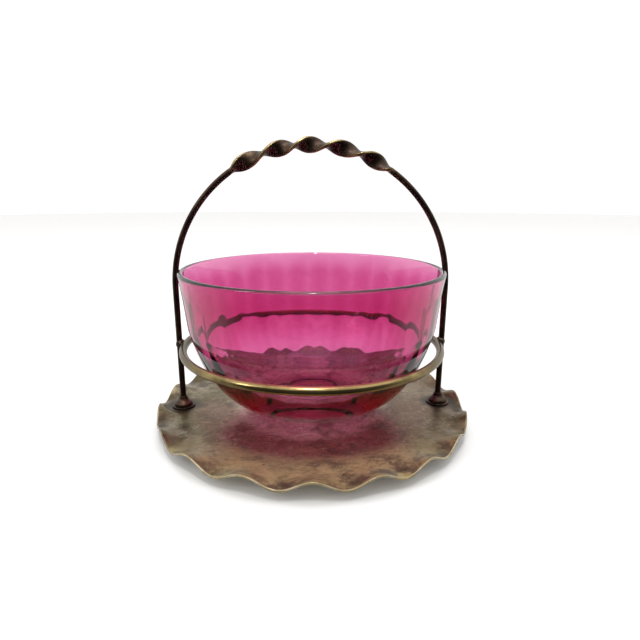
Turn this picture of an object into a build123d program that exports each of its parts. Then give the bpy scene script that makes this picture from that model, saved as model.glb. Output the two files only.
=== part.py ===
"""Ruby glass bowl in a plated basket stand.

A round frilled tray on a low foot ring carries one hoop handle, whose two uprights are
shouldered on the tray and held by nuts below it. A wire ring soldered between the
uprights steadies a ruby glass bowl, which stands on the tray and lifts out.

Millimetres. +Z is up, the front is -Y, and the origin is at the middle of the base.
"""
import os
from math import cos, hypot, pi, radians, sin

from build123d import *

# ---- tray: pressed sheet with a hand-crimped frilled edge ----
SHEET = 1.2
TRAY_RADIUS = 79.8
FLAT_RADIUS = 67.5            # the flat of the tray, inside the frill
RIM_RISE = 1.6                # mean height of the frilled rim above the flat
FRILL_WAVES = 18
FRILL_HEIGHT = 2.2            # from a wave's mean height to its top
FRILL_POINTS = 8              # spline points to one wave
EDGE_ROUND = 0.3              # how far the rim's corners are rounded off
SEAT_RADIUS = 7.6             # flat left in the frill for each foot of the handle
SEAT_FADE = 4.0

# ---- foot ring soldered under the tray ----
FOOT_HEIGHT = 5.0
FOOT_RADIUS = 46.0            # to the outside of its upright wall
FOOT_WALL = 1.2
FOOT_FLANGE = 3.0             # how far the flat it stands on reaches out from the wall
FOOT_FILLET = 0.5             # where that flat meets the wall

# ---- hoop handle ----
WIRE = 3.0                    # diameter of the handle wire
UPRIGHT_X = 68.2              # centre line of each upright, and the radius of the arch
ARCH_SPRING = 69.6            # height at which the uprights turn into the arch
GRIP_HALF_ANGLE = 34.0        # degrees of arch each side of the top that are twisted
GRIP_TAPER_ANGLE = 4.0        # degrees over which the round wire becomes flat
GRIP_WIDTH = 7.6
GRIP_THICKNESS = 2.5
HALF_TWISTS = 5               # left-handed
GRIP_SECTIONS = 40

# ---- handle fittings ----
STUD_RADIUS = 1.25            # reduced end of the wire, below its shoulder
STUD_GAP = 0.05               # clearance of the stud and the wire in their holes
STUD_END = 0.5                # how far the stud shows below its nut
COLLAR_RADIUS = 4.7
COLLAR_HEIGHT = 5.0
COLLAR_NECK = 2.1
COLLAR_LIP = 0.6              # plain band at the bottom, below the flare
COLLAR_MIDDLE = (3.4, 2.25)   # radius and height of a point half way up the flare
WASHER_RADIUS = 6.0
WASHER = 0.7
WASHER_ROUND = 0.3
UNDER_WASHER_RADIUS = 4.0
UNDER_WASHER = 0.5
NUT_SIDE = 5.5
NUT = 2.0

# ---- ring round the bowl ----
RING_WIRE = 3.9
RING_RADIUS = 64.9
RING_HEIGHT = 40.4
SOLDER_RADIUS = 2.6
SOLDER_INSET = 0.7            # centre of the solder, inwards from the upright's centre

# ---- glass bowl ----
BOWL_RADIUS = 65.3            # outside, at the rim
BOWL_FOOT_RADIUS = 18.0
BOWL_HEIGHT = 73.8
BOWL_WALL = 2.6
BOWL_BASE = 5.0
FOOT_HOLLOW = 0.8             # depth of the ground hollow under the bowl

FLAT_TOP = FOOT_HEIGHT + SHEET

os.makedirs("parts", exist_ok=True)


def frill(angle):
    """Height of the crimped edge at an angle, -1 to 1, with a wave's top at the front."""
    from_front = angle + pi / 2
    uneven = 0.064 - 0.033 * cos(2 * from_front) + 0.012 * sin(from_front)
    return cos(FRILL_WAVES * (from_front + uneven))


def seat(x, y):
    """0 on the flat left in the frill for each foot, rising to 1 past it."""
    from_foot = hypot(abs(x) - UPRIGHT_X, y)
    return min(1.0, max(0.0, (from_foot - SEAT_RADIUS) / SEAT_FADE))


def tray_wire(radius, drop):
    """Closed wavy wire round the tray at one radius, drop below the sheet's top."""
    out = max(0.0, radius - FLAT_RADIUS) / (TRAY_RADIUS - FLAT_RADIUS)
    count = FRILL_WAVES * FRILL_POINTS
    points = []
    for step in range(count):
        angle = 2 * pi * step / count
        x, y = radius * cos(angle), radius * sin(angle)
        rise = out**1.5 * seat(x, y) * (RIM_RISE + FRILL_HEIGHT * frill(angle))
        points.append(Vector(x, y, FLAT_TOP - drop + rise))
    return Wire([Edge.make_spline(points, periodic=True)])


with BuildPart() as tray:
    width = TRAY_RADIUS - EDGE_ROUND - FLAT_RADIUS
    radii = [FLAT_RADIUS + share * width for share in (0, 0.3, 0.65, 1)]
    top = [tray_wire(radius, 0) for radius in radii]
    rim = [tray_wire(TRAY_RADIUS, drop) for drop in (EDGE_ROUND, SHEET - EDGE_ROUND)]
    underside = [tray_wire(radius, SHEET) for radius in reversed(radii)]
    add(Solid.make_loft(top + rim + underside, ruled=True))
    with Locations((-UPRIGHT_X, 0, FLAT_TOP), (UPRIGHT_X, 0, FLAT_TOP)):
        Hole(radius=STUD_RADIUS + STUD_GAP)
tray.part.label = "tray"
export_step(tray.part, "parts/tray.step")

with BuildPart() as foot_ring:
    with BuildSketch(Plane.XZ):
        with BuildLine():
            Polyline(
                (FOOT_RADIUS - FOOT_WALL, FOOT_HEIGHT),
                (FOOT_RADIUS, FOOT_HEIGHT),
                (FOOT_RADIUS, FOOT_WALL),
                (FOOT_RADIUS + FOOT_FLANGE, FOOT_WALL),
                (FOOT_RADIUS + FOOT_FLANGE, 0),
                (FOOT_RADIUS - FOOT_WALL, 0),
                close=True,
            )
        make_face()
    revolve(axis=Axis.Z)
    fillet(foot_ring.edges().filter_by_position(Axis.Z, FOOT_WALL, FOOT_WALL), radius=FOOT_FILLET)
foot_ring.part.label = "foot_ring"
export_step(foot_ring.part, "parts/foot_ring.step")

with BuildPart() as handle:
    # The grip: an ellipse carried round the top of the arch as it turns, round at both ends.
    round_angle = GRIP_HALF_ANGLE + GRIP_TAPER_ANGLE / 2
    for step in range(GRIP_SECTIONS + 1):
        angle = round_angle * (2 * step / GRIP_SECTIONS - 1)
        flat = min(1.0, (round_angle - abs(angle)) / GRIP_TAPER_ANGLE)
        turn = 90 * HALF_TWISTS * max(-1.0, min(1.0, angle / GRIP_HALF_ANGLE))
        outward = Vector(sin(radians(angle)), 0, cos(radians(angle)))
        along = Vector(cos(radians(angle)), 0, -sin(radians(angle)))
        wide = outward * cos(radians(turn)) + Vector(0, 1, 0) * sin(radians(turn))
        centre = outward * UPRIGHT_X + Vector(0, 0, ARCH_SPRING)
        with BuildSketch(Plane(origin=centre, x_dir=wide, z_dir=along)):
            if flat > 0:
                Ellipse(
                    (WIRE + flat * (GRIP_WIDTH - WIRE)) / 2,
                    (WIRE + flat * (GRIP_THICKNESS - WIRE)) / 2,
                )
            else:
                Circle(WIRE / 2)
    loft()
    # The plain wire each side of it: the rest of the arch, the upright, and the stud.
    for side in (-1, 1):
        end = radians(90 - round_angle)
        with BuildLine(Plane.XZ) as upright_path:
            Line((side * UPRIGHT_X, FLAT_TOP), (side * UPRIGHT_X, ARCH_SPRING))
            ThreePointArc(
                (side * UPRIGHT_X, ARCH_SPRING),
                (side * UPRIGHT_X * cos(end / 2), ARCH_SPRING + UPRIGHT_X * sin(end / 2)),
                (side * UPRIGHT_X * cos(end), ARCH_SPRING + UPRIGHT_X * sin(end)),
            )
        with BuildSketch(Plane.XY.offset(FLAT_TOP)):
            with Locations((side * UPRIGHT_X, 0)):
                Circle(WIRE / 2)
        sweep(path=upright_path.wires()[0])
        stud_bottom = FOOT_HEIGHT - UNDER_WASHER - NUT - STUD_END
        with Locations((side * UPRIGHT_X, 0, stud_bottom)):
            Cylinder(
                STUD_RADIUS, FLAT_TOP - stud_bottom, align=(Align.CENTER, Align.CENTER, Align.MIN)
            )
handle.part.label = "handle"
export_step(handle.part, "parts/handle.step")

with BuildPart() as bowl_ring:
    with BuildSketch(Plane.YZ):
        with Locations((RING_RADIUS, RING_HEIGHT)):
            Circle(RING_WIRE / 2)
    revolve(axis=Axis.Z)
    # A seat filed on each side, where the ring bears on its upright.
    with Locations((-UPRIGHT_X, 0, RING_HEIGHT), (UPRIGHT_X, 0, RING_HEIGHT)):
        Cylinder(WIRE / 2, 2 * RING_WIRE, mode=Mode.SUBTRACT)
bowl_ring.part.label = "bowl_ring"
export_step(bowl_ring.part, "parts/bowl_ring.step")

with BuildPart() as ring_solder:
    solder_x = UPRIGHT_X - SOLDER_INSET
    with Locations((-solder_x, 0, RING_HEIGHT), (solder_x, 0, RING_HEIGHT)):
        Sphere(SOLDER_RADIUS)
    with Locations((-UPRIGHT_X, 0, RING_HEIGHT), (UPRIGHT_X, 0, RING_HEIGHT)):
        Cylinder(WIRE / 2, 2 * RING_WIRE, mode=Mode.SUBTRACT)
    with Locations((0, 0, RING_HEIGHT)):
        Torus(RING_RADIUS, RING_WIRE / 2, mode=Mode.SUBTRACT)
ring_solder.part.label = "ring_solder"
export_step(ring_solder.part, "parts/ring_solder.step")

for side, name in ((-1, "left"), (1, "right")):
    with BuildPart() as collar_washer:
        with BuildSketch(Plane.XY.offset(FLAT_TOP)):
            with Locations((side * UPRIGHT_X, 0)):
                Circle(WASHER_RADIUS)
                Circle(WIRE / 2 + STUD_GAP, mode=Mode.SUBTRACT)
        extrude(amount=WASHER)
        fillet(collar_washer.faces().sort_by(Axis.Z)[-1].outer_wire().edges(), radius=WASHER_ROUND)
    collar_washer.part.label = f"{name}_collar_washer"
    export_step(collar_washer.part, f"parts/{name}_collar_washer.step")

    with BuildPart() as foot_collar:
        collar_plane = Plane((side * UPRIGHT_X, 0, FLAT_TOP + WASHER), x_dir=(1, 0, 0), z_dir=(0, -1, 0))
        with BuildSketch(collar_plane):
            with BuildLine():
                bore = WIRE / 2 + STUD_GAP
                Polyline((COLLAR_NECK, COLLAR_HEIGHT), (bore, COLLAR_HEIGHT), (bore, 0), (COLLAR_RADIUS, 0))
                Line((COLLAR_RADIUS, 0), (COLLAR_RADIUS, COLLAR_LIP))
                Spline(
                    (COLLAR_RADIUS, COLLAR_LIP),
                    COLLAR_MIDDLE,
                    (COLLAR_NECK, COLLAR_HEIGHT),
                    tangents=((-0.3, 1), (-0.2, 1)),
                )
            make_face()
        revolve(axis=Axis((side * UPRIGHT_X, 0, 0), (0, 0, 1)))
    foot_collar.part.label = f"{name}_foot_collar"
    export_step(foot_collar.part, f"parts/{name}_foot_collar.step")

with BuildPart() as under_washers:
    with BuildSketch(Plane.XY.offset(FOOT_HEIGHT - UNDER_WASHER)):
        with Locations((-UPRIGHT_X, 0), (UPRIGHT_X, 0)):
            Circle(UNDER_WASHER_RADIUS)
            Circle(STUD_RADIUS + STUD_GAP, mode=Mode.SUBTRACT)
    extrude(amount=UNDER_WASHER)
under_washers.part.label = "under_washers"
export_step(under_washers.part, "parts/under_washers.step")

with BuildPart() as hold_down_nuts:
    with BuildSketch(Plane.XY.offset(FOOT_HEIGHT - UNDER_WASHER - NUT)):
        with Locations((-UPRIGHT_X, 0), (UPRIGHT_X, 0)):
            Rectangle(NUT_SIDE, NUT_SIDE)
            Circle(STUD_RADIUS + STUD_GAP, mode=Mode.SUBTRACT)
    extrude(amount=NUT)
    corners = hold_down_nuts.edges().filter_by(Axis.Z).filter_by(GeomType.LINE)
    chamfer(corners, length=0.4)
hold_down_nuts.part.label = "hold_down_nuts"
export_step(hold_down_nuts.part, "parts/hold_down_nuts.step")

with BuildPart() as bowl:
    with BuildSketch(Plane((0, 0, FLAT_TOP), x_dir=(1, 0, 0), z_dir=(0, -1, 0))):
        with BuildLine():
            lip = BOWL_WALL / 2
            rim_inside = BOWL_RADIUS - BOWL_WALL
            Spline(
                (0, BOWL_BASE), (38.8, 13.4), (52.8, 29.2), (59.2, 47), (rim_inside, BOWL_HEIGHT - lip),
                tangents=((1, 0), (0.1, 1)),
            )
            ThreePointArc(
                (rim_inside, BOWL_HEIGHT - lip),
                (rim_inside + lip, BOWL_HEIGHT),
                (BOWL_RADIUS, BOWL_HEIGHT - lip),
            )
            Spline(
                (BOWL_RADIUS, BOWL_HEIGHT - lip), (61.9, 46), (55.6, 27.8), (42.8, 10.4),
                (BOWL_FOOT_RADIUS, 0),
                tangents=((-0.1, -1), (-1, -0.2)),
            )
            Polyline(
                (BOWL_FOOT_RADIUS, 0),
                (BOWL_FOOT_RADIUS - 3, 0),
                (BOWL_FOOT_RADIUS - 5, FOOT_HOLLOW),
                (0, FOOT_HOLLOW),
                (0, BOWL_BASE),
            )
        make_face()
    revolve(axis=Axis.Z)
bowl.part.label = "bowl"
export_step(bowl.part, "parts/bowl.step")
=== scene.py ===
"""The looks of a ruby glass bowl in its plated basket stand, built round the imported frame.

Everything is in metres, with the stand's base at height 0 and its front towards -Y.
"""

import bmesh
import bpy
from math import cos, pi, radians, sin
from mathutils import Matrix, Vector
from mathutils.geometry import interpolate_bezier


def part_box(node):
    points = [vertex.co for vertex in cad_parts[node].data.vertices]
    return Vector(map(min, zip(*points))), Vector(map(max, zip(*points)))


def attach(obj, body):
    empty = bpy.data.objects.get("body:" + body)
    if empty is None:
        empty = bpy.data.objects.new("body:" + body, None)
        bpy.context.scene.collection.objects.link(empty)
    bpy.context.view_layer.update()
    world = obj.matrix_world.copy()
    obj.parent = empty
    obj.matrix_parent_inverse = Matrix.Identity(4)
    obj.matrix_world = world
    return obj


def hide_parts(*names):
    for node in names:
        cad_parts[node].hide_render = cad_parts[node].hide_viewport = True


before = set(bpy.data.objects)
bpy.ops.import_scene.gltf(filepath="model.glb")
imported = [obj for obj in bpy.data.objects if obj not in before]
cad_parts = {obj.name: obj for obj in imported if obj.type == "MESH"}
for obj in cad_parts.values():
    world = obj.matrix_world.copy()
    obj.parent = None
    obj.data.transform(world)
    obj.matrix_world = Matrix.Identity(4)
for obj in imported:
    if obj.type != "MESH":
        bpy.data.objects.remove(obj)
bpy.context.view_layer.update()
mm = 0.001
scene = bpy.context.scene

# ---- The table and the light -------------------------------------------------------------
# A flat pale table with a glowing white wall all round it, a wide softbox overhead, and two
# small ones, to the left and high in front, for the highlights on the wire and the glass.


def paint(hex_colour):
    """A colour written as six hex digits, as the linear RGBA that a shader takes."""
    parts = [int(hex_colour[i : i + 2], 16) / 255 for i in (0, 2, 4)]
    return tuple((p / 12.92 if p <= 0.04045 else ((p + 0.055) / 1.055) ** 2.4) for p in parts) + (1.0,)


def lathed(name, outline, steps, turned=None, closed=True):
    """A piece turned from an outline of (radius, height); turned(angle, k, r, z) may reshape it."""
    shape = bmesh.new()
    rings = []
    for k, (radius, height) in enumerate(outline):
        ring = []
        for step in range(steps):
            angle = 2 * pi * step / steps
            r, z = turned(angle, k, radius, height) if turned else (radius, height)
            ring.append(shape.verts.new((r * cos(angle), r * sin(angle), z)))
        rings.append(ring)
    pairs = list(zip(rings, rings[1:])) + ([(rings[-1], rings[0])] if closed else [])
    for low, high in pairs:
        for step in range(steps):
            after = (step + 1) % steps
            shape.faces.new((low[step], low[after], high[after], high[step]))
    bmesh.ops.remove_doubles(shape, verts=shape.verts, dist=0.002 * mm)
    bmesh.ops.dissolve_degenerate(shape, edges=shape.edges, dist=0.001 * mm)
    bmesh.ops.delete(shape, geom=[edge for edge in shape.edges if not edge.link_faces], context="EDGES")
    if closed:
        bmesh.ops.recalc_face_normals(shape, faces=shape.faces)
    mesh = bpy.data.meshes.new(name)
    shape.to_mesh(mesh)
    shape.free()
    for face in mesh.polygons:
        face.use_smooth = True
    piece = bpy.data.objects.new(name, mesh)
    scene.collection.objects.link(piece)
    return piece


class Amount:
    """A value in a recipe of nodes. Arithmetic on it adds the Math nodes it needs."""

    def __init__(self, recipe, socket):
        self.recipe, self.socket = recipe, socket

    def also(self, output):
        """Another output of the node that this value comes from."""
        return Amount(self.recipe, self.socket.node.outputs[output])

    def __add__(self, other):
        return self.recipe.sum("ADD", self, other)

    def __sub__(self, other):
        return self.recipe.sum("SUBTRACT", self, other)

    def __rsub__(self, other):
        return self.recipe.sum("SUBTRACT", other, self)

    def __mul__(self, other):
        return self.recipe.sum("MULTIPLY", self, other)

    def __truediv__(self, other):
        return self.recipe.sum("DIVIDE", self, other)

    def __pow__(self, other):
        return self.recipe.sum("POWER", self, other)

    def __abs__(self):
        return self.recipe.sum("ABSOLUTE", self)

    __radd__, __rmul__ = __add__, __mul__


class Recipe:
    """Nodes being added to one tree, whether a finish's or a shape's."""

    def __init__(self, tree):
        self.tree = tree

    def node(self, kind, settings={}, inputs={}, output=0):
        """Adds a node: its settings first, a ramp's stops among them, then its inputs."""
        made = self.tree.nodes.new(kind)
        for name, value in settings.items():
            if name == "stops":
                while len(made.color_ramp.elements) < len(value):
                    made.color_ramp.elements.new(1)
                for stop, (place, colour) in zip(made.color_ramp.elements, value):
                    stop.position, stop.color = place, colour
            else:
                setattr(made, name, value)
        for key, value in inputs.items() if isinstance(inputs, dict) else enumerate(inputs):
            if isinstance(value, Amount):
                self.tree.links.new(value.socket, made.inputs[key])
            else:
                made.inputs[key].default_value = value
        return Amount(self, made.outputs[output]) if made.outputs else None

    def sum(self, operation, *values):
        """One Math node on one or two values."""
        return self.node("ShaderNodeMath", {"operation": operation}, values)

    def least(self, one, other):
        """The smaller of two values."""
        return self.sum("MINIMUM", one, other)

    def most(self, one, other):
        """The larger of two values."""
        return self.sum("MAXIMUM", one, other)

    def cos(self, angle):
        return self.sum("COSINE", angle)

    def sin(self, angle):
        return self.sum("SINE", angle)

    def between(self, value, low, high):
        """0 below low, 1 above high, and a smooth rise between."""
        smooth = {"interpolation_type": "SMOOTHSTEP"}
        limits = {"Value": value, "From Min": low, "From Max": high}
        return self.node("ShaderNodeMapRange", smooth, limits)

    def mix(self, share, one, other):
        """A colour between two others."""
        return self.node("ShaderNodeMix", {"data_type": "RGBA"}, {0: share, 6: one, 7: other}, 2)

    def place(self):
        """Where a point of the piece is."""
        return self.node("ShaderNodeTexCoord", output="Object")

    def apart(self, vector):
        """The X, Y and Z of a vector."""
        x = self.node("ShaderNodeSeparateXYZ", {}, [vector])
        return x, x.also("Y"), x.also("Z")

    def stretched(self, vector, scale):
        """A place scaled by axis: a scale under 1 draws a pattern out along that axis."""
        return self.node("ShaderNodeMapping", {}, {"Vector": vector, "Scale": scale})

    def cloud(self, vector, size, detail, rough=0.5):
        """Soft noise whose blotches are about size across."""
        settings = {"Vector": vector, "Scale": 1 / size, "Detail": detail, "Roughness": rough}
        return self.node("ShaderNodeTexNoise", {}, settings, "Fac")

    def bump(self, height, depth, strength):
        """The lean of the surface where a relief of that depth is on it."""
        settings = {"Height": height, "Distance": depth, "Strength": strength}
        return self.node("ShaderNodeBump", {}, settings)

    def surface(self, **inputs):
        """The Principled shader that ends a finish; underscores in a name stand for spaces."""
        named = {name.replace("_", " "): value for name, value in inputs.items()}
        shader = self.node("ShaderNodeBsdfPrincipled", {}, named)
        self.node("ShaderNodeOutputMaterial", {}, {"Surface": shader})


def finish(name):
    """An empty material and the recipe that fills it."""
    material = bpy.data.materials.new(name)
    material.use_nodes = True
    material.node_tree.nodes.clear()
    return material, Recipe(material.node_tree)


# Neither the table nor the wall shows in the metal, which mirrors only the room beyond.
table_radius, wall_top, stage_steps = 3.2, 3.4, 96
table = lathed("table", [(0.0, 0.0), (0.5, 0.0), (table_radius, 0.0)], stage_steps, closed=False)
table_paint, recipe = finish("table_paint")
recipe.surface(Base_Color=(0.9, 0.9, 0.9, 1), Roughness=0.9)
table.data.materials.append(table_paint)
table.visible_glossy = False

backdrop = lathed("backdrop", [(table_radius, 0.0), (table_radius, wall_top)], stage_steps, closed=False)
backdrop_paint, recipe = finish("backdrop_paint")
recipe.surface(Base_Color=(0, 0, 0, 1), Emission_Color=(1, 0.995, 0.985, 1), Emission_Strength=1.04)
backdrop.data.materials.append(backdrop_paint)
backdrop.visible_glossy = False

# The room beyond: bright at the back and sides and above, dim in front, and darker below.
world = bpy.data.worlds.new("room")
world.use_nodes = True
world.node_tree.nodes.clear()
recipe = Recipe(world.node_tree)
_, back, up = recipe.apart(recipe.node("ShaderNodeTexCoord", output="Generated"))
dim = recipe.between(back * -1, -0.15, 0.55) * (1 - recipe.between(up, 0.35, 0.75))
strength = (1.04 - 0.97 * dim) * (1 - 0.6 * recipe.between(up * -1, 0.1, 0.8))
glow = recipe.node("ShaderNodeBackground", {}, {"Color": (1, 0.99, 0.97, 1), "Strength": strength})
recipe.node("ShaderNodeOutputWorld", {}, {"Surface": glow})
scene.world = world


def softbox(name, place, aim, width, height, power):
    """A plain rectangular light at place, facing aim."""
    light = bpy.data.lights.new(name, "AREA")
    light.shape = "RECTANGLE"
    light.size = width
    light.size_y = height
    light.energy = power
    lamp = bpy.data.objects.new(name, light)
    lamp.location = place
    lamp.rotation_euler = (Vector(aim) - Vector(place)).to_track_quat("-Z", "Y").to_euler()
    scene.collection.objects.link(lamp)


# Each light has a place, a width and a height in metres, and a power in watts.
middle = (0, 0, 70 * mm)
softbox("overhead", (0.05, 0.1, 1.3), middle, 0.6, 0.6, 3.4)
softbox("left_window", (-0.9, -0.5, 0.7), middle, 0.25, 0.4, 1.5)
softbox("front_window", (-0.03, -0.46, 1.16), middle, 0.14, 0.17, 3.0)

# ---- The camera --------------------------------------------------------------------------
# It stands a little above the rim of the bowl, close in, and looks down at about 15 degrees.
eye_distance, eye_height = 241.4 * mm, 115.1 * mm
eye_turn, eye_tilt = radians(2.05), radians(14.53)
lens_length, film_width, film_shift, nearest = 27.24, 36, 0.013, 0.01
camera = bpy.data.objects.new("camera", bpy.data.cameras.new("camera"))
camera.data.lens = lens_length
camera.data.sensor_width = film_width
camera.data.shift_x = film_shift
camera.data.clip_start = nearest
camera.location = (-eye_distance * sin(eye_turn), -eye_distance * cos(eye_turn), eye_height)
camera.rotation_euler = (pi / 2 - eye_tilt, 0, -eye_turn)
scene.collection.objects.link(camera)
scene.camera = camera
scene.view_settings.view_transform = "Standard"
scene.cycles.use_denoising = True

# Light crosses the glass many times before it gets out, and stray bright specks are clipped.
scene.cycles.max_bounces = 48
scene.cycles.transmission_bounces = 40
scene.cycles.glossy_bounces = 24
scene.cycles.sample_clamp_indirect = 1.1

# ---- The tray ----------------------------------------------------------------------------
# Pressed brass sheet, silver-plated, with its edge crimped by hand into eighteen uneven waves.
# Polishing has worn the plate thin, most of all in front, and tarnish sits in the crimps.


def grown(name, sizes, shape, material):
    """A piece made by Geometry Nodes that shape(recipe, size) adds to a tree, kept as a mesh."""
    tree = bpy.data.node_groups.new(name, "GeometryNodeTree")
    face = tree.interface
    face.new_socket("Geometry", in_out="OUTPUT", socket_type="NodeSocketGeometry")
    sockets = [face.new_socket(size, in_out="INPUT", socket_type="NodeSocketFloat") for size in sizes]
    recipe = Recipe(tree)
    entry = tree.nodes.new("NodeGroupInput")
    made = shape(recipe, {size: Amount(recipe, entry.outputs[size]) for size in sizes})
    made = recipe.node("GeometryNodeRealizeInstances", {}, [made])
    made = recipe.node("GeometryNodeSetMaterial", {}, {"Geometry": made, "Material": material})
    end = tree.nodes.new("NodeGroupOutput")
    tree.links.new(made.socket, end.inputs[0])
    piece = bpy.data.objects.new(name, bpy.data.meshes.new(name))
    scene.collection.objects.link(piece)
    modifier = piece.modifiers.new(name, "NODES")
    modifier.node_group = tree
    for socket, size in zip(sockets, sizes.values()):
        modifier[socket.identifier] = size
    evaluated = piece.evaluated_get(bpy.context.evaluated_depsgraph_get())
    mesh = bpy.data.meshes.new_from_object(evaluated)
    piece.modifiers.clear()
    piece.data = mesh
    mesh.name = name
    mesh.materials.clear()
    mesh.materials.append(material)
    return piece


join = 0.004 * mm
tray_sizes = {
    "Rim Radius": 79.8 * mm,
    "Flat Radius": 67.5 * mm,
    "Sheet": 1.2 * mm,
    "Flat Height": 6.2 * mm,
    "Rim Rise": 1.6 * mm,
    "Wave Height": 2.2 * mm,
    "Waves": 18,
    "Foot Reach": 68.2 * mm,
    "Foot Flat": 7.6 * mm,
    "Foot Fade": 4 * mm,
}


def crimped_tray(recipe, size):
    """A round sheet with a rounded edge, lifted into waves outside its flat."""
    steps = {"Vertices X": 721, "Vertices Y": 81}
    grid = recipe.node("GeometryNodeMeshGrid", {}, {"Size X": 1.0, "Size Y": 1.0, **steps})
    across, along, _ = recipe.apart(recipe.node("GeometryNodeInputPosition"))
    angle = (across + 0.5) * (2 * pi)
    side = along * -2

    # The middle tenth of the grid goes round the edge; the rest is the top and the underside,
    # with its rows crowded towards the rim, where the waves are.
    edge_share, crowding = 0.1, 1.7
    edge = recipe.most(-1, recipe.least(1, side / edge_share)) * (pi / 2)
    inward = recipe.most(0, (abs(side) - edge_share) / (1 - edge_share)) ** crowding
    half = size["Sheet"] / 2
    radius = (size["Rim Radius"] - half) * (1 - inward) + half * recipe.cos(edge)
    x, y = radius * recipe.cos(angle), radius * recipe.sin(angle)

    # Waves crimped by eye crowd a little in two opposite quarters of the rim.
    front = angle + pi / 2
    uneven = 0.064 - 0.033 * recipe.cos(front * 2) + 0.012 * recipe.sin(front)
    wave = recipe.cos((front + uneven) * size["Waves"])
    out = recipe.most(0, radius - size["Flat Radius"]) / (size["Rim Radius"] - size["Flat Radius"])

    # The sheet stays flat round each foot, and it is a little dented outside the middle.
    foot_x = abs(x) - size["Foot Reach"]
    from_foot = (foot_x * foot_x + y * y) ** 0.5
    seat = recipe.between(from_foot, size["Foot Flat"], size["Foot Flat"] + size["Foot Fade"])
    rise = out ** 1.5 * seat * (size["Rim Rise"] + size["Wave Height"] * wave)
    spot = recipe.node("ShaderNodeCombineXYZ", {}, [x, y, 0.0])
    dents = (recipe.cloud(spot, 28 * mm, 1.0) - 0.5) * (0.35 * mm)
    dents = dents * recipe.between(radius, 20 * mm, 40 * mm)
    height = size["Flat Height"] - half - half * recipe.sin(edge) + rise + dents * seat
    place = recipe.node("ShaderNodeCombineXYZ", {}, [x, y, height])
    sheet = recipe.node("GeometryNodeSetPosition", {}, {"Geometry": grid, "Position": place})
    sheet = recipe.node("GeometryNodeMergeByDistance", {}, {"Geometry": sheet, "Distance": join})
    return recipe.node("GeometryNodeSetShadeSmooth", {}, {"Geometry": sheet})


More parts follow.
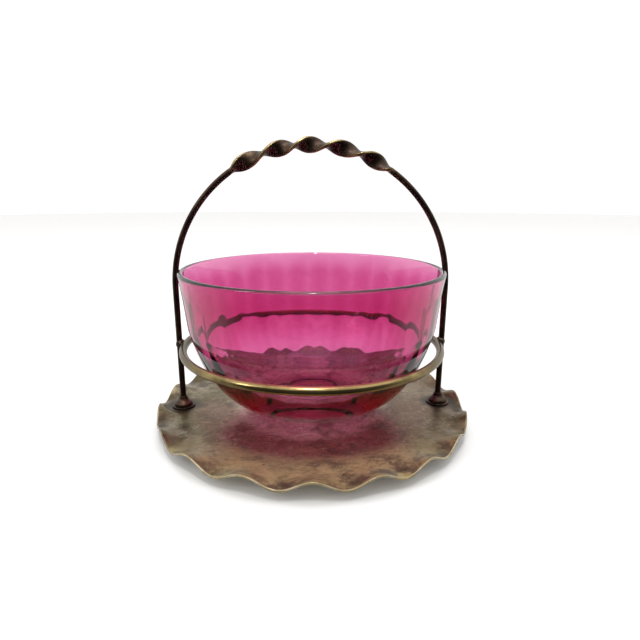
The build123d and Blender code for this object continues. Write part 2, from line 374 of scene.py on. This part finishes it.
def worn_plate():
    """Silver plate over brass: grey where it lasts, gold and brown where it is worn through, with
    painted light on it: the bowl's red light and shadow, and a highlight on the rim.
    """
    material, recipe = finish("worn_plate")
    place = recipe.place()
    x, y, z = recipe.apart(place)
    out = (x * x + y * y) ** 0.5
    foot_x = abs(x) - tray_sizes["Foot Reach"]
    from_foot = (foot_x * foot_x + y * y) ** 0.5
    broad = recipe.cloud(place, 26 * mm, 4, 0.6)
    patch = recipe.cloud(place, 9 * mm, 5, 0.65)
    fine = recipe.cloud(place, 2.2 * mm, 5, 0.7)
    streaks = recipe.cloud(recipe.stretched(place, (0.35, 1, 1)), 1.6 * mm, 4, 0.7)
    hairlines = recipe.cloud(recipe.stretched(place, (0.03, 1, 1)), 0.35 * mm, 2, 0.6)

    # Under the bowl the plate was spared wear, and it is also painted duller and darker there as the
    # bowl's shadow; outside that it has been rubbed with every cleaning, and in front the brass shows
    # gold.
    spared_and_bowl_shadow = recipe.between(out + (patch - 0.5) * (7 * mm), 59 * mm, 53 * mm)
    front = recipe.between(-1 * y + (broad - 0.5) * (40 * mm), 25 * mm, 62 * mm)
    colour = recipe.mix(recipe.between(patch, 0.4, 0.6), paint("574B38"), paint("A0947C"))
    colour = recipe.mix(recipe.between(broad + fine * 0.4, 0.6, 0.85) * 0.7, colour, paint("6B6038"))
    dull = recipe.between(streaks * 0.3 + patch * 0.7, 0.4, 0.6)
    gold = recipe.mix(dull, paint("A69466"), paint("7E6E49"))
    colour = recipe.mix(front * (0.95 - 0.35 * spared_and_bowl_shadow), colour, gold)

    # The middle is still bright. Round it, in front, the red light that the ruby bowl throws on the tray
    # is painted in coppery red, and the right side and scattered patches have gone brown.
    centre = recipe.between(out + (patch - 0.5) * (6 * mm), 44 * mm, 36 * mm)
    colour = recipe.mix(centre * 0.6, colour, paint("CDC0AC"))
    # Painted red light from the ruby bowl, in a ring just outside it.
    painted_ruby_light = recipe.between(out, 65 * mm, 54 * mm) * (1 - centre)
    painted_ruby_light = painted_ruby_light * recipe.between(y, 15 * mm, -10 * mm)
    colour = recipe.mix(painted_ruby_light * 0.55, colour, paint("74443A"))
    right = recipe.between(x + (broad - 0.5) * (30 * mm), 15 * mm, 60 * mm) * (1 - front)
    colour = recipe.mix(right * 0.5, colour, paint("6A5140"))
    brown = recipe.between(broad * 0.5 + patch * 0.7, 0.6, 0.74)
    colour = recipe.mix(brown * 0.75, colour, paint("54402F"))

    # Polishing has drawn everything out a little from left to right, and mottled it.
    # The streaks are painted darker under the bowl, as its shadow.
    drawn = recipe.between(streaks, 0.5, 0.72) * (0.12 + 0.25 * spared_and_bowl_shadow)
    colour = recipe.mix(drawn, colour, paint("3C2C24"))
    colour = recipe.mix(recipe.between(fine, 0.55, 0.7) * 0.45, colour, paint("B9AD92"))
    colour = recipe.mix(recipe.between(fine, 0.46, 0.34) * 0.4, colour, paint("4A3C30"))

    # Tarnish lies in the valleys of the crimped edge, round the two feet, and in the pits.
    valleys = recipe.between(out, 70 * mm, 77 * mm) * recipe.between(z, 8.8 * mm, 5.8 * mm)
    crimps = valleys * recipe.between(patch + fine * 0.3, 0.5, 0.75)
    feet = recipe.between(from_foot + (patch - 0.5) * (5 * mm), 11 * mm, 6.5 * mm)
    colour = recipe.mix(crimps * 0.8, colour, paint("33261F"))
    colour = recipe.mix(feet * 0.8, colour, paint("2B221E"))
    spacing = {"Vector": place, "Scale": 1 / (6.5 * mm)}
    pits = recipe.node("ShaderNodeTexVoronoi", {}, spacing, "Distance")
    pitted = recipe.between(pits, 0.13, 0.05) * recipe.between(patch, 0.47, 0.52)
    colour = recipe.mix(pitted * 0.85, colour, paint("1A1210"))

    # The cut edge is painted lighter all round as a highlight, and brighter still in places where it is
    # rubbed.
    edge = recipe.between(out, 79.0 * mm, 79.4 * mm)
    # Painted highlight along the rim, plus patches of real wear.
    rim_wear_and_highlight = edge * (0.15 + 0.55 * recipe.between(patch, 0.42, 0.6))
    colour = recipe.mix(rim_wear_and_highlight, colour, paint("C6B999"))
    worn = front * (1 - spared_and_bowl_shadow)
    rough = 0.33 - 0.06 * spared_and_bowl_shadow + 0.3 * (patch - 0.5) + 0.25 * (streaks - 0.5) - 0.1 * edge
    relief = streaks * 0.2 + hairlines * 0.08 + fine * 0.35 - pitted * 1.5
    recipe.surface(
        Base_Color=colour,
        Metallic=0.85 - 0.4 * worn,
        Roughness=rough + 0.08 * worn,
        Normal=recipe.bump(relief, 0.05 * mm, 0.6),
    )
    return material


plate = worn_plate()
tray = grown("crimped_tray", tray_sizes, crimped_tray, plate)
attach(tray, "stand")
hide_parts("tray")

# ---- The foot ring -----------------------------------------------------------------------
# A low collet of spun brass, soldered under the tray. Its flange is what the stand rests on,
# so the plate there has rubbed through.


def rounded(corner_from, corner, corner_to, radius, steps=5):
    """Points that turn a corner of an outline in an arc of about that radius."""
    a, b, c = Vector(corner_from), Vector(corner), Vector(corner_to)
    start = b + (a - b).normalized() * radius
    end = b + (c - b).normalized() * radius
    arc = interpolate_bezier(start, b.lerp(start, 0.45), b.lerp(end, 0.45), end, steps)
    return [tuple(point) for point in arc]


def softened(outline, radius):
    """A closed outline with every corner turned in an arc."""
    count = len(outline)
    corners = [
        rounded((*outline[k - 1], 0), (*outline[k], 0), (*outline[(k + 1) % count], 0), radius)
        for k in range(count)
    ]
    return [(r, z) for corner in corners for r, z, _ in corner]


_, foot_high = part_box("foot_ring")
foot_outside, foot_top = foot_high.x, foot_high.z
foot_wall, foot_flange, foot_round, foot_steps = 1.2 * mm, 3 * mm, 0.4 * mm, 180
foot_outline = [
    (foot_outside - foot_flange - foot_wall, foot_top),
    (foot_outside - foot_flange, foot_top),
    (foot_outside - foot_flange, foot_wall),
    (foot_outside, foot_wall),
    (foot_outside, 0),
    (foot_outside - foot_flange - foot_wall, 0),
]
foot = lathed("spun_foot_ring", softened(foot_outline, foot_round), foot_steps)
foot.data.materials.append(plate)
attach(foot, "stand")
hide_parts("foot_ring")

# ---- The hoop handle ---------------------------------------------------------------------
# One length of 3 mm brass wire. Its middle was hammered flat, twisted through five half turns
# and bent to the arch; the ends are turned down to studs that pass through the tray.

hoop_sizes = {
    "Arch Radius": 68.2 * mm,
    "Arch Spring": 69.6 * mm,
    "Shoulder": 6.2 * mm,
    "Stud Bottom": 2.0 * mm,
    "Wire": 3.0 * mm,
    "Stud": 2.5 * mm,
    "Grip Width": 7.6 * mm,
    "Grip Thickness": 2.5 * mm,
    "Half Twists": 5,
    "Grip Half Angle": radians(34),
    "Taper Angle": radians(5),
}


def twisted_hoop(recipe, size):
    """A tube along the uprights and the arch whose section flattens and turns in the grip."""
    steps = {"Vertices X": 1501, "Vertices Y": 41}
    grid = recipe.node("GeometryNodeMeshGrid", {}, {"Size X": 2.0, "Size Y": 1.0, **steps})
    along, around, _ = recipe.apart(recipe.node("GeometryNodeInputPosition"))
    arch = size["Arch Radius"]
    upright = size["Arch Spring"] - size["Stud Bottom"]
    run = along * (upright + arch * (pi / 2))
    way = recipe.sum("SIGN", run)
    bend = recipe.least(abs(run) / arch, pi / 2)
    down = recipe.most(0, abs(run) - arch * (pi / 2))
    sine, cosine = way * recipe.sin(bend), recipe.cos(bend)
    height = size["Arch Spring"] + arch * cosine - down

    # How flat the wire is here, and how far it has turned. A twist made by hand isn't even.
    grip, half_taper = size["Grip Half Angle"], size["Taper Angle"] / 2
    flat = 1 - recipe.between(bend, grip - half_taper, grip + half_taper)
    swing = recipe.most(-1, recipe.least(1, run / arch / grip))
    slack = recipe.sin(run * 61) * 0.09 + recipe.sin(run * 143 + 1) * 0.07
    turn = (swing * size["Half Twists"] + slack * flat) * (pi / 2)

    # The thin stud starts at the shoulder, and the last rows close the tube's two ends.
    stud = recipe.sum("LESS_THAN", height, size["Shoulder"] - 0.01 * mm)
    end = recipe.sum("LESS_THAN", abs(along), 0.9995)
    plain = (size["Wire"] + stud * (size["Stud"] - size["Wire"])) / 2
    wide = (plain + flat * (size["Grip Width"] / 2 - plain)) * end
    thick = (plain + flat * (size["Grip Thickness"] / 2 - plain)) * end
    spin = (around + 0.5) * (2 * pi)

    # A power under 1 squares off the strip's section; the wire's is a plain circle.
    power = 1 - 0.4 * flat
    far, near = recipe.cos(spin), recipe.sin(spin)
    far = recipe.sum("SIGN", far) * abs(far) ** power * wide
    near = recipe.sum("SIGN", near) * abs(near) ** power * thick
    outward = far * recipe.cos(turn) - near * recipe.sin(turn)
    back = far * recipe.sin(turn) + near * recipe.cos(turn)
    spot = [sine * (arch + outward), back, height + cosine * outward]
    place = recipe.node("ShaderNodeCombineXYZ", {}, spot)

    # The strip's edges, where it gets rubbed and where it catches the light, are marked while the grid
    # is still flat.
    rubbed = recipe.between(abs(recipe.cos(spin)), 0.8, 0.99) * flat
    kind = {"data_type": "FLOAT", "domain": "POINT"}
    marked = {"Geometry": grid, "Name": "rubbed", "Value": rubbed}
    tube = recipe.node("GeometryNodeStoreNamedAttribute", kind, marked)
    tube = recipe.node("GeometryNodeSetPosition", {}, {"Geometry": tube, "Position": place})
    tube = recipe.node("GeometryNodeMergeByDistance", {}, {"Geometry": tube, "Distance": join})
    return recipe.node("GeometryNodeSetShadeSmooth", {}, {"Geometry": tube})


def brown_wire():
    """Brass wire gone dark brown, rubbed back to dull gold where hands and cloths reach; the grip's
    edges are painted that gold also as a highlight.
    """
    material, recipe = finish("brown_wire")
    place = recipe.place()
    patches = recipe.cloud(place, 9 * mm, 4, 0.6)
    fine = recipe.cloud(place, 1.2 * mm, 3, 0.6)
    grain = recipe.cloud(recipe.stretched(place, (1, 1, 0.12)), 0.5 * mm, 2, 0.5)
    rubbed = recipe.node("ShaderNodeAttribute", {"attribute_name": "rubbed"}, {}, "Fac")
    colour = recipe.mix(recipe.between(patches, 0.35, 0.7), paint("3A2E2B"), paint("5B4A3C"))
    colour = recipe.mix(recipe.between(fine, 0.55, 0.75) * 0.5, colour, paint("7D6B4C"))
    # The grip's edges are painted dull gold: partly wear, partly a painted highlight.
    edge_wear_and_highlight = rubbed * recipe.between(patches + fine * 0.5, 0.45, 0.8)
    colour = recipe.mix(edge_wear_and_highlight * 0.85, colour, paint("B5A070"))
    recipe.surface(
        Base_Color=colour,
        Metallic=1.0,
        Roughness=0.42 - 0.14 * edge_wear_and_highlight + 0.14 * (fine - 0.5),
        Normal=recipe.bump(grain * 0.5 + fine, 0.04 * mm, 0.6),
    )
    return material


dark_wire = brown_wire()
hoop = grown("twisted_hoop", hoop_sizes, twisted_hoop, dark_wire)
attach(hoop, "stand")
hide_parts("handle")

# ---- The foot collars and their washers --------------------------------------------------
# Each upright passes through a small flared collar of turned brass, which sits on a thin
# washer and hides the hole in the tray. Both have gone as brown as the wire.

foot_reach, tray_top = hoop_sizes["Arch Radius"], tray_sizes["Flat Height"]
bore, washer_radius, washer_height, washer_round = 1.55 * mm, 6 * mm, 0.7 * mm, 0.25 * mm
collar_foot, collar_neck, turned_steps = 4.7 * mm, 2.05 * mm, 64
for side, name in ((-1, "left"), (1, "right")):
    collar_low, collar_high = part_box(name + "_foot_collar")
    base, tall = collar_low.z, collar_high.z - collar_low.z
    flare = interpolate_bezier(
        Vector((collar_foot, 0.55 * mm, 0)),
        Vector((4.5 * mm, 2.3 * mm, 0)),
        Vector((2.3 * mm, 1.9 * mm, 0)),
        Vector((collar_neck, tall, 0)),
        20,
    )
    outline = [(bore, tall), (bore, 0), (4.4 * mm, 0), (4.65 * mm, 0.1 * mm), (4.78 * mm, 0.3 * mm)]
    outline += [(point.x, point.y) for point in flare]
    collar = lathed(name + "_flared_collar", outline, turned_steps)
    collar.data.transform(Matrix.Translation((side * foot_reach, 0, base)))
    collar.data.materials.append(dark_wire)
    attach(collar, "stand")
    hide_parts(name + "_foot_collar")

    corners = [(bore, 0), (washer_radius, 0), (washer_radius, washer_height), (bore, washer_height)]
    washer = lathed(name + "_thin_washer", softened(corners, washer_round), turned_steps)
    washer.data.transform(Matrix.Translation((side * foot_reach, 0, tray_top)))
    washer.data.materials.append(dark_wire)
    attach(washer, "stand")
    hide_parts(name + "_collar_washer")

# ---- The nuts under the tray -------------------------------------------------------------
# Square brass nuts on plain washers hold the two studs. Nobody sees or polishes them.


def dull_brass():
    """Brass left as it was sawn and filed, gone dull."""
    material, recipe = finish("dull_brass")
    place = recipe.place()
    fine = recipe.cloud(place, 1.5 * mm, 4, 0.6)
    filed = recipe.cloud(recipe.stretched(place, (0.1, 1, 1)), 0.3 * mm, 2, 0.5)
    colour = recipe.mix(recipe.between(fine, 0.35, 0.65), paint("8A7445"), paint("5E4B30"))
    recipe.surface(
        Base_Color=colour,
        Metallic=1.0,
        Roughness=0.38 + 0.2 * fine,
        Normal=recipe.bump(filed + fine * 0.5, 0.03 * mm, 0.5),
    )
    return material


nut_brass = dull_brass()
for node in ("under_washers", "hold_down_nuts"):
    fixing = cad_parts[node]
    fixing.data.materials.clear()
    fixing.data.materials.append(nut_brass)

# ---- The ring round the bowl -------------------------------------------------------------
# A hoop of 4 mm brass wire, better polished than the rest, silver-soldered to the insides of
# the two uprights. The solder stands in a small lump at each joint.

ring_low, ring_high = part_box("bowl_ring")
ring_wire = (ring_high.z - ring_low.z) / 2
ring_radius, ring_height = ring_high.y - ring_wire, (ring_high.z + ring_low.z) / 2


def gold_wire():
    """Brass wire, browner towards its joints, and painted darker at its left and right as shade."""
    material, recipe = finish("gold_wire")
    place = recipe.place()
    x, _, _ = recipe.apart(place)
    broad = recipe.cloud(place, 14 * mm, 3, 0.6)
    fine = recipe.cloud(place, 1.6 * mm, 4, 0.65)
    joints = recipe.between(abs(x), 52 * mm, 65 * mm)
    # The left and right of the ring are painted darker, as shade.
    painted_side_shade = recipe.between(abs(x) + (broad - 0.5) * (30 * mm), 28 * mm, 58 * mm)
    colour = recipe.mix(recipe.between(broad, 0.4, 0.7) * 0.6, paint("B59E6C"), paint("7C6840"))
    colour = recipe.mix(recipe.between(fine, 0.55, 0.8) * 0.5, colour, paint("6A573A"))
    colour = recipe.mix(painted_side_shade * 0.75, colour, paint("5A4F3A"))
    colour = recipe.mix(joints * 0.7, colour, paint("4A3E34"))
    recipe.surface(
        Base_Color=colour,
        Metallic=1.0,
        Roughness=0.14 + 0.12 * fine + 0.1 * joints,
        Normal=recipe.bump(broad * 0.6 + fine * 0.15, 0.05 * mm, 0.4),
    )
    return material


def slightly_bent(angle, k, radius, height):
    """A hand-made ring is never quite true."""
    return radius, height + 0.25 * mm * sin(3 * angle + 1) * (sin(angle) ** 2)


section_points, ring_steps = 28, 288
section = []
for k in range(section_points):
    turn = 2 * pi * k / section_points
    section.append((ring_radius + ring_wire * cos(turn), ring_height + ring_wire * sin(turn)))
steadying_ring = lathed("steadying_ring", section, ring_steps, slightly_bent)
steadying_ring.data.materials.append(gold_wire())
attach(steadying_ring, "stand")
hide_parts("bowl_ring")


def old_solder():
    """Silver solder gone black in its hollows."""
    material, recipe = finish("old_solder")
    fine = recipe.cloud(recipe.place(), 1.1 * mm, 4, 0.6)
    colour = recipe.mix(recipe.between(fine, 0.4, 0.65), paint("2A2220"), paint("75685A"))
    recipe.surface(
        Base_Color=colour,
        Metallic=1.0,
        Roughness=0.35 + 0.2 * fine,
        Normal=recipe.bump(fine, 0.15 * mm, 0.7),
    )
    return material


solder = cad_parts["ring_solder"]
solder.data.materials.clear()
solder.data.materials.append(old_solder())

# ---- The glass bowl ----------------------------------------------------------------------
# Blown with a thin skin of ruby cased in clear glass, in a mould that left soft upright
# panels, then cut level at the rim, fire-polished, and ground flat underneath.

bowl_low, bowl_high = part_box("bowl")
bowl_height, bowl_radius, bowl_wall = bowl_high.z - bowl_low.z, bowl_high.x, 2.6 * mm
panels, panel_depth, panel_steps, span_steps = 28, 0.26 * mm, 12, 60


def bent(points, steps):
    """Points along Bezier spans, given in mm as end, handle, handle, end, handle and so on."""
    found = []
    for k in range(0, len(points) - 3, 3):
        span = [Vector((r * mm, z * mm, 0)) for r, z in points[k : k + 4]]
        found += [(p.x, p.y) for p in interpolate_bezier(*span, steps)][:-1]
    return found + [(points[-1][0] * mm, points[-1][1] * mm)]


# Both faces run as (radius, height), the outer from its ground edge and the inner from its
# middle, up to the rim, which fire-polishing has melted round.
top, rim, lip = bowl_height / mm, bowl_radius / mm, bowl_wall / 2 / mm
outside = bent(
    [(18, 0), (43.7, 5.3), (54.9, 17.7), (61.9, 46), (63.0, 55), (63.7, 64), (rim, top - lip)],
    span_steps,
)
inside = bent(
    [(0, 5), (36, 5), (52.6, 20), (59.2, 47), (60.3, 56), (61.1, 64), (rim - 2 * lip, top - lip)],
    span_steps,
)
fire_polish = [
    ((rim - lip + lip * cos(pi * k / 10)) * mm, (top - lip + lip * sin(pi * k / 10)) * mm)
    for k in range(1, 10)
]
under = [(0.0, 0.8 * mm), (12 * mm, 0.8 * mm), (14.6 * mm, 0.25 * mm), (15.4 * mm, 0.0)]
bowl_outline = under + outside + fire_polish + inside[::-1]
first_inside = len(under) + len(outside) + len(fire_polish)


def panelled(angle, k, radius, height):
    """The soft upright panels in the inner face, arched at their tops and fading at the base."""
    if k < first_inside:
        return radius, height + bowl_low.z
    ridge = 1 - abs(sin(panels * angle / 2))
    arch_top = top - 7 - 4 * ridge
    below_arch = min(1, max(0, (arch_top - height / mm) / 5))
    above_base = min(1, max(0, (height / mm - 20) / 16))
    shown = below_arch * above_base
    shown = shown * shown * (3 - 2 * shown)
    return radius - panel_depth * ridge * shown, height + bowl_low.z


bowl = lathed("clear_casing", bowl_outline, panels * panel_steps, panelled)

# The ruby is a skin about a third of a millimetre thick in the middle of the wall, which ends
# just short of the rim.
skin_depths, skin_top = (1.0 * mm, 1.35 * mm), (top - 0.35) * mm
inner_face = [(inside[-1][0], (top - 1.6) * mm)] + inside[::-1][1:]


def panelled_skin(angle, k, radius, height):
    """The skin keeps to the panels of the inner face."""
    return panelled(angle, first_inside, radius, height)


skin_outline = []
for depth in skin_depths:
    side = [(inside[-1][0] + depth, skin_top)]
    for k in range(1, len(inner_face)):
        (radius, height), before = inner_face[k], inner_face[k - 1]
        after = inner_face[min(len(inner_face) - 1, k + 1)]
        along = Vector((after[0] - before[0], after[1] - before[1])).normalized()
        side.append((max(0.0, radius - along.y * depth), height + along.x * depth))
    skin_outline += side if not skin_outline else side[::-1]
skin = lathed("ruby_skin", skin_outline, panels * panel_steps, panelled_skin)


def clear_glass():
    """The clear casing, with the faint waves of hand work, and matt where it was ground."""
    material, recipe = finish("clear_glass")
    place = recipe.place()
    waves = recipe.cloud(recipe.stretched(place, (1, 1, 0.5)), 22 * mm, 1, 0.4)
    _, _, z = recipe.apart(place)
    ground = recipe.between(z, bowl_low.z + 1.2 * mm, bowl_low.z + 0.9 * mm)
    recipe.surface(
        Base_Color=(0.98, 0.97, 0.975, 1),
        Roughness=0.35 * ground,
        IOR=1.5,
        Specular_IOR_Level=0.3,
        Transmission_Weight=1.0,
        Normal=recipe.bump(waves, 0.3 * mm, 0.3),
    )
    return material


def ruby(thickness):
    """What the skin lets through where the ruby is that many times its usual thickness."""
    clear_share, ruby_shares = 0.92, (0.49, 0.065, 0.208)
    through = [min(1, share ** thickness / clear_share) for share in ruby_shares]
    return (*through, 1)


def ruby_layer():
    """The ruby layer, thin at the rim, low down, and all along the front of the bowl."""
    material, recipe = finish("ruby_layer")
    place = recipe.place()
    x, y, z = recipe.apart(place)
    waves = recipe.cloud(recipe.stretched(place, (1, 1, 0.5)), 18 * mm, 2, 0.4)
    ridges = 1 - abs(recipe.sin(recipe.sum("ARCTAN2", y, x) * (panels / 2)))
    height = (z - bowl_low.z + (waves - 0.5) * (7 * mm)) / bowl_height
    low = 0.34 + 0.66 * recipe.between(height, 0.15, 0.62)
    high = 1 - 0.45 * recipe.between(height, 0.8, 1.0)
    thin = 0.35 + 0.2 * recipe.between(height, 0.95, 0.7)
    front = 1 - thin * recipe.between(y / (65 * mm), 0.3, -1.0)
    bands = 1.04 - 0.13 * ridges * recipe.between(height, 0.97, 0.88)

    # The ramp runs from no ruby at all to a quarter more than its usual thickness.
    stops = [(k / 10, ruby(k / 8)) for k in range(11)]
    share = low * high * front * bands * 0.8
    depth = recipe.node("ShaderNodeValToRGB", {"stops": stops}, [share], "Color")
    recipe.surface(
        Base_Color=depth,
        Roughness=0.0,
        IOR=1.0,
        Transmission_Weight=1.0,
        Specular_IOR_Level=0.0,
    )
    return material


bowl.data.materials.append(clear_glass())
skin.data.materials.append(ruby_layer())
for piece in (bowl, skin):
    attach(piece, "glass_bowl")
    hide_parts("bowl")
